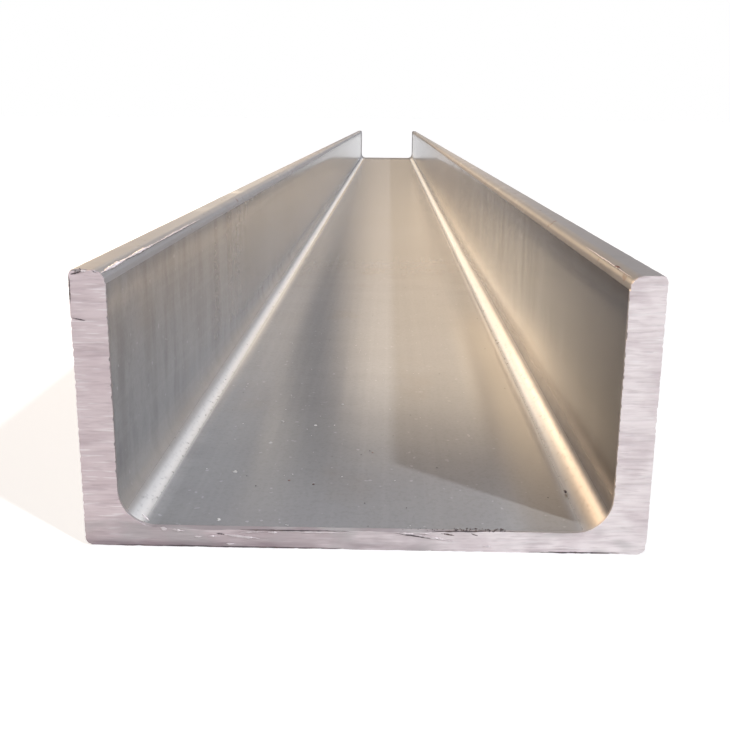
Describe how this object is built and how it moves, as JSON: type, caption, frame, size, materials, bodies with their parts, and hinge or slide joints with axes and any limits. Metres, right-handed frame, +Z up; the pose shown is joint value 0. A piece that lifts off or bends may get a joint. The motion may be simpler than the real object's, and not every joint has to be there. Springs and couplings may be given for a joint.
{
  "type": "steel channel beam",
  "caption": "Rolled steel C-section beam with a flat web and parallel flanges, sawn square at both ends, for frames, lintels and supports.",
  "frame": {"origin": "middle of the web's back face, the face that the beam lies on, at mid length", "axes": "+X across the web from flange to flange, +Y along the beam, +Z up, from the web's back towards the tips of the flanges"},
  "size_m": [0.15, 2.4, 0.075],
  "materials": {
    "rolled_steel": "hot rolled mill finish, smooth grey with a dull sheen",
    "sawn_steel": "fresh saw cut with fine parallel marks"
  },
  "bodies": {
    "root": {"channel_beam": "rolled_steel"}
  },
  "joints": []
}
